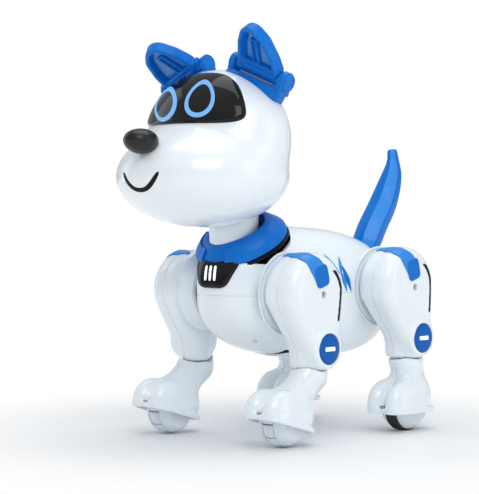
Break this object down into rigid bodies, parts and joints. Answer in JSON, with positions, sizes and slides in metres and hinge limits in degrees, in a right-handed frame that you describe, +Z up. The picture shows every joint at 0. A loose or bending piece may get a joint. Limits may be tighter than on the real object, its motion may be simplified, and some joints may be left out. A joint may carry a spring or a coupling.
{
  "type": "robot dog toy",
  "caption": "Walking robot dog toy with hollow shells, jointed legs on wheels, a turning and nodding head, folding ears and a wagging tail.",
  "frame": {"origin": "on the ground, in the centre plane, under the middle of the dog", "axes": "+Z up, nose towards -Y, the dog's left side at +X"},
  "size_m": [0.1384, 0.2648, 0.2707],
  "materials": {
    "white_shell": "gloss moulded white plastic with a faint blue tint",
    "light_shell": "gloss moulded plastic, very pale blue grey",
    "blue_plastic": "satin to gloss blue plastic",
    "black_gloss": "piano black, near mirror gloss",
    "black_plastic": "black satin plastic",
    "light_blue_led": "lit light blue diffuser",
    "white_led": "lit white diffuser",
    "tyre_rubber": "matte black rubber",
    "steel": "ground steel",
    "circuit": "green solder mask",
    "battery_wrap": "plastic battery sleeve",
    "grey_plastic": "grey moulded plastic"
  },
  "bodies": {
    "trunk": {"upper_body_shell": "white_shell", "belly_shell": "white_shell", "battery_door": "light_shell", "battery_pack": "battery_wrap", "circuit_board": "circuit", "leg_gearbox": "grey_plastic", "chest_panel": "black_gloss", "chest_light_bars": "white_led", "collar": "blue_plastic", "side_emblems": "blue_plastic", "body_screws": "steel"},
    "switch": {"power_switch": "black_plastic"},
    "neck": {"neck": "light_shell"},
    "head": {"head_front_shell": "white_shell", "head_rear_shell": "white_shell", "visor": "black_gloss", "eye_rings": "light_blue_led", "nose": "black_plastic", "speaker": "grey_plastic", "left_ear_base": "blue_plastic", "right_ear_base": "blue_plastic"},
    "left_ear": {"left_ear": "blue_plastic"},
    "right_ear": {"right_ear": "blue_plastic"},
    "tail": {"tail": "blue_plastic"},
    "front_left_thigh": {"front_left_thigh_outer": "white_shell", "front_left_thigh_inner": "white_shell", "front_left_shoulder_insert": "blue_plastic", "front_left_knee_cap": "blue_plastic", "front_leg_shaft": "steel"},
    "front_left_shin": {"front_left_shin_outer": "white_shell", "front_left_shin_inner": "white_shell"},
    "front_left_wheel": {"front_left_wheel_hub": "light_shell", "front_left_rollers": "light_shell"},
    "front_right_thigh": {"front_right_thigh_outer": "white_shell", "front_right_thigh_inner": "white_shell", "front_right_shoulder_insert": "blue_plastic", "front_right_knee_cap": "blue_plastic"},
    "front_right_shin": {"front_right_shin_outer": "white_shell", "front_right_shin_inner": "white_shell"},
    "front_right_wheel": {"front_right_wheel_hub": "light_shell", "front_right_rollers": "light_shell"},
    "rear_left_thigh": {"rear_left_thigh_outer": "white_shell", "rear_left_thigh_inner": "white_shell", "rear_left_shoulder_insert": "blue_plastic", "rear_left_knee_cap": "blue_plastic", "rear_left_wheel_motor": "steel", "rear_leg_shaft": "steel"},
    "rear_left_shin": {"rear_left_shin_outer": "white_shell", "rear_left_shin_inner": "white_shell"},
    "rear_left_wheel": {"rear_left_wheel_hub": "light_shell", "rear_left_tyre": "tyre_rubber"},
    "rear_right_thigh": {"rear_right_thigh_outer": "white_shell", "rear_right_thigh_inner": "white_shell", "rear_right_shoulder_insert": "blue_plastic", "rear_right_knee_cap": "blue_plastic", "rear_right_wheel_motor": "steel"},
    "rear_right_shin": {"rear_right_shin_outer": "white_shell", "rear_right_shin_inner": "white_shell"},
    "rear_right_wheel": {"rear_right_wheel_hub": "light_shell", "rear_right_tyre": "tyre_rubber"}
  },
  "joints": [
    {"name": "neck_turn", "type": "hinge", "parent": "trunk", "child": "neck", "pos_m": [0, -0.03651, 0.13], "axis": [0, 0, 1], "range_deg": [-30, 30]},
    {"name": "head_nod", "type": "hinge", "parent": "neck", "child": "head", "pos_m": [0, -0.03651, 0.156], "axis": [1, 0, 0], "range_deg": [-8, 8]},
    {"name": "left_ear_fold", "type": "hinge", "parent": "head", "child": "left_ear", "pos_m": [0.0155, -0.04781, 0.248], "axis": [0.9203, 0.0951, -0.3795], "range_deg": [-36, 24]},
    {"name": "right_ear_fold", "type": "hinge", "parent": "head", "child": "right_ear", "pos_m": [-0.0155, -0.04781, 0.248], "axis": [0.9203, -0.0951, 0.3795], "range_deg": [-59, 0]},
    {"name": "tail_wag", "type": "hinge", "parent": "trunk", "child": "tail", "pos_m": [0, 0.09349, 0.124], "axis": [0, 1, 0], "range_deg": [-25, 25]},
    {"name": "power_switch_slide", "type": "slide", "parent": "trunk", "child": "switch", "axis": [0, 1, 0], "range_m": [0, 0.006]},
    {"name": "front_left_shoulder", "type": "hinge", "parent": "trunk", "child": "front_left_thigh", "pos_m": [0.052, -0.02451, 0.097], "axis": [1, 0, 0], "range_deg": [-12, 12]},
    {"name": "front_left_knee", "type": "hinge", "parent": "front_left_thigh", "child": "front_left_shin", "pos_m": [0.052, -0.01771, 0.0619], "axis": [1, 0, 0], "range_deg": [-3, 20]},
    {"name": "front_left_wheel_spin", "type": "hinge", "parent": "front_left_shin", "child": "front_left_wheel", "pos_m": [0.052, -0.04551, 0.016], "axis": [1, 0, 0], "continuous": true},
    {"name": "front_right_shoulder", "type": "hinge", "parent": "trunk", "child": "front_right_thigh", "pos_m": [-0.052, -0.02451, 0.097], "axis": [1, 0, 0], "range_deg": [-12, 12]},
    {"name": "front_right_knee", "type": "hinge", "parent": "front_right_thigh", "child": "front_right_shin", "pos_m": [-0.052, -0.01771, 0.0619], "axis": [1, 0, 0], "range_deg": [-3, 20]},
    {"name": "front_right_wheel_spin", "type": "hinge", "parent": "front_right_shin", "child": "front_right_wheel", "pos_m": [-0.052, -0.04551, 0.016], "axis": [1, 0, 0], "continuous": true},
    {"name": "rear_left_hip", "type": "hinge", "parent": "trunk", "child": "rear_left_thigh", "pos_m": [0.052, 0.07049, 0.099], "axis": [1, 0, 0], "range_deg": [-12, 12]},
    {"name": "rear_left_knee", "type": "hinge", "parent": "rear_left_thigh", "child": "rear_left_shin", "pos_m": [0.052, 0.08049, 0.064], "axis": [1, 0, 0], "range_deg": [-8, 20]},
    {"name": "rear_left_wheel_spin", "type": "hinge", "parent": "rear_left_shin", "child": "rear_left_wheel", "pos_m": [0.052, 0.07849, 0.016], "axis": [1, 0, 0], "continuous": true},
    {"name": "rear_right_hip", "type": "hinge", "parent": "trunk", "child": "rear_right_thigh", "pos_m": [-0.052, 0.07049, 0.099], "axis": [1, 0, 0], "range_deg": [-12, 12]},
    {"name": "rear_right_knee", "type": "hinge", "parent": "rear_right_thigh", "child": "rear_right_shin", "pos_m": [-0.052, 0.08049, 0.064], "axis": [1, 0, 0], "range_deg": [-8, 20]},
    {"name": "rear_right_wheel_spin", "type": "hinge", "parent": "rear_right_shin", "child": "rear_right_wheel", "pos_m": [-0.052, 0.07849, 0.016], "axis": [1, 0, 0], "continuous": true}
  ],
  "couplings": [
    {"joint": "front_right_shoulder", "follows": "front_left_shoulder", "ratio": 1},
    {"joint": "rear_right_hip", "follows": "rear_left_hip", "ratio": 1}
  ]
}
